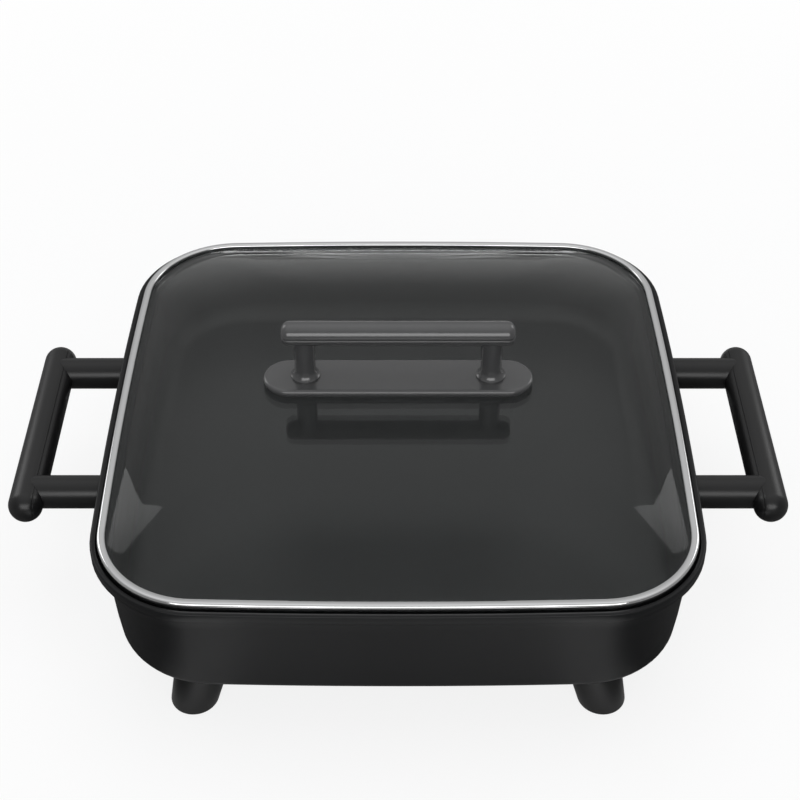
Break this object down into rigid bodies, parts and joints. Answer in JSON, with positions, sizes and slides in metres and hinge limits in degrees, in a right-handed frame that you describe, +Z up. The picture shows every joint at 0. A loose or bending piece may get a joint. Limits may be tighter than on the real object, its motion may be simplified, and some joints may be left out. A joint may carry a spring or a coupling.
{
  "type": "electric hot pot",
  "caption": "Square cast electric hot pot on four feet, with bar grips at two sides, a plug-in inlet and a domed glass lid with a bar handle.",
  "frame": {"origin": "middle of the footprint, on the surface that the feet stand on", "axes": "+X to the right through the side grips, +Y to the rear, +Z up; the front faces -Y"},
  "size_m": [0.4342, 0.33, 0.1543],
  "materials": {
    "cast_body": "satin dark coating on cast aluminium",
    "heater_sheath": "dull steel tube",
    "terminal_steel": "bright plated steel",
    "ceramic": "white glazed ceramic",
    "moulded_black": "satin black heat-proof plastic",
    "fastener_steel": "plated steel",
    "reflector_sheet": "bright sheet",
    "cover_sheet": "black painted sheet",
    "polished_steel": "polished stainless steel",
    "lid_glass": "clear tempered glass",
    "seal_rubber": "black rubber"
  },
  "bodies": {
    "pot": {"pan": "cast_body", "terminal_block": "cast_body", "terminal_block_screws": "fastener_steel", "heating_element": "heater_sheath", "terminal_pins": "terminal_steel", "terminal_insulators": "ceramic", "earth_contact": "terminal_steel", "inlet_guard": "moulded_black", "inlet_guard_screws": "fastener_steel", "heat_reflector": "reflector_sheet", "reflector_spacers": "fastener_steel", "base_cover": "cover_sheet", "base_cover_screws": "fastener_steel", "foot_screws": "fastener_steel", "foot_front_left": "moulded_black", "foot_pad_front_left": "seal_rubber", "foot_front_right": "moulded_black", "foot_pad_front_right": "seal_rubber", "foot_rear_left": "moulded_black", "foot_pad_rear_left": "seal_rubber", "foot_rear_right": "moulded_black", "foot_pad_rear_right": "seal_rubber", "left_grip_outer": "moulded_black", "left_grip_inner": "moulded_black", "left_post_front": "moulded_black", "left_post_rear": "moulded_black", "left_grip_washers": "fastener_steel", "left_grip_screws": "fastener_steel", "right_grip_outer": "moulded_black", "right_grip_inner": "moulded_black", "right_post_front": "moulded_black", "right_post_rear": "moulded_black", "right_grip_washers": "fastener_steel", "right_grip_screws": "fastener_steel"},
    "lid": {"lid_rim": "polished_steel", "lid_glass": "lid_glass", "lid_handle_gasket": "seal_rubber", "lid_handle_plate": "moulded_black", "lid_post_left": "moulded_black", "lid_post_right": "moulded_black", "lid_bar_lower": "moulded_black", "lid_bar_upper": "moulded_black", "lid_washers": "fastener_steel", "lid_screws": "fastener_steel"}
  },
  "joints": [
    {"name": "lid_lift", "type": "slide", "parent": "pot", "child": "lid", "axis": [0, 0, 1], "range_m": [0, 0.18]}
  ]
}
